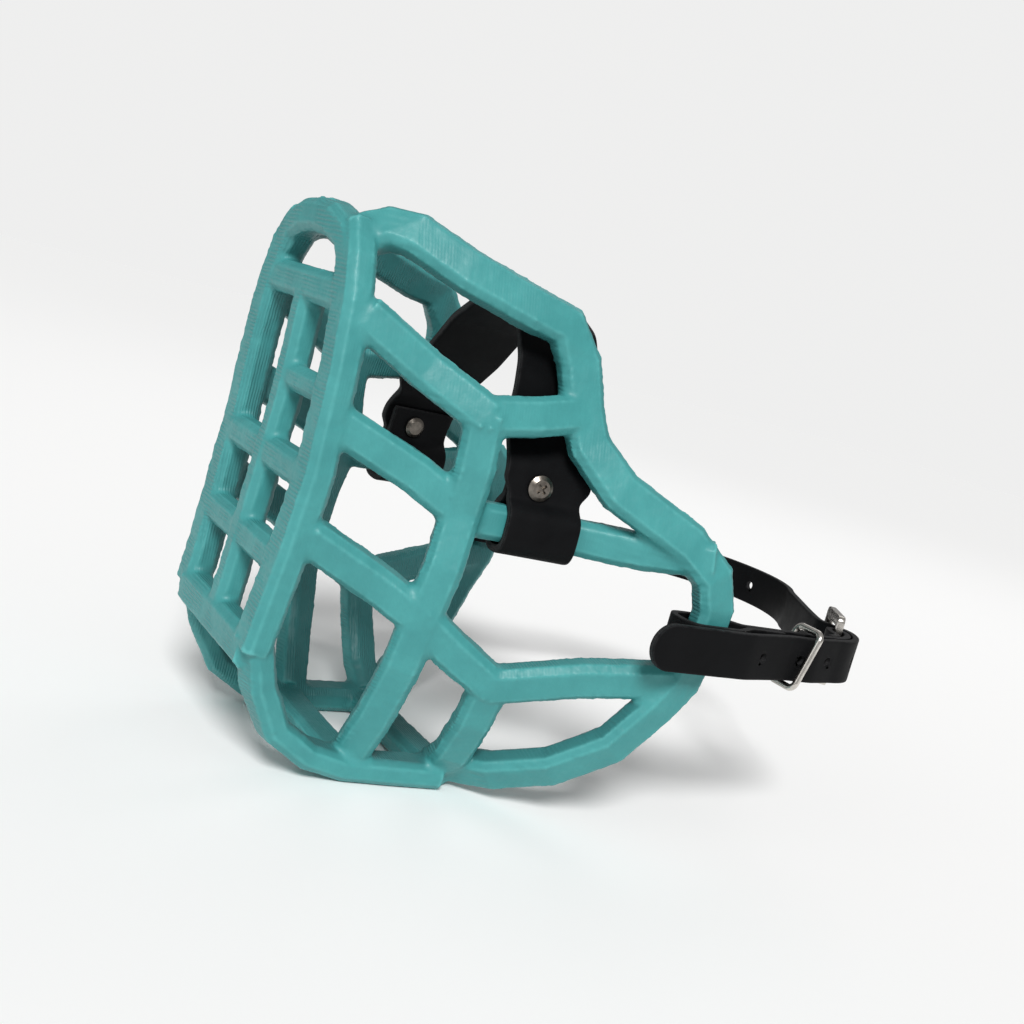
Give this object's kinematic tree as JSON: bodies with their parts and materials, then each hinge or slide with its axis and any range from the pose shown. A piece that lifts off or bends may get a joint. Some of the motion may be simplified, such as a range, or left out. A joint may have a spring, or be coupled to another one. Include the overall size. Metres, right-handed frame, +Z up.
{
  "type": "basket muzzle",
  "caption": "Dog's basket muzzle: a moulded lattice basket with a nose band, and a buckled neck strap with a keeper ring.",
  "frame": {"origin": "on the floor under the middle of the whole part's box, in the basket's mirror plane to within 1.5 mm", "axes": "+Z up, -Y the way the nose points, +X the dog's left; the basket stands on the rungs under the chin"},
  "size_m": [0.1427, 0.2103, 0.1518],
  "materials": {
    "moulded_plastic": "satin, faint print lines",
    "black_strap": "matt coated",
    "dark_nickel": "darkened nickel",
    "nickel": "polished nickel"
  },
  "bodies": {
    "basket": {"basket": "moulded_plastic"},
    "nose_band": {"nose_band": "black_strap", "nose_screw_left": "dark_nickel", "nose_screw_right": "dark_nickel", "nose_post_left": "dark_nickel", "nose_post_right": "dark_nickel"},
    "neck_strap": {"buckle_strap": "black_strap", "billet_strap": "black_strap", "rim_rivet_left": "dark_nickel", "rim_rivet_right": "dark_nickel", "buckle_rivet": "dark_nickel"},
    "keeper": {"keeper_ring": "nickel"},
    "buckle": {"buckle_frame": "nickel"},
    "prong": {"buckle_prong": "nickel"}
  },
  "joints": [
    {"name": "nose_band_slide", "type": "slide", "parent": "basket", "child": "nose_band", "axis": [0, 1, 0], "range_m": [-0.0015, 0.001]},
    {"name": "neck_strap_tilt", "type": "hinge", "parent": "basket", "child": "neck_strap", "pos_m": [0, 0.0119, 0.06065], "axis": [1, 0, 0], "range_deg": [-8, 3]},
    {"name": "keeper_slide", "type": "slide", "parent": "neck_strap", "child": "keeper", "axis": [0, 1, 0], "range_m": [-0.003, 0.008]},
    {"name": "buckle_pivot", "type": "hinge", "parent": "neck_strap", "child": "buckle", "pos_m": [0.05409, 0.07078, 0.06065], "axis": [0, 0, 1], "range_deg": [-6, 3]},
    {"name": "prong_pivot", "type": "hinge", "parent": "buckle", "child": "prong", "pos_m": [0.05409, 0.07078, 0.06065], "axis": [0, 0, 1], "range_deg": [-25, 0]}
  ]
}
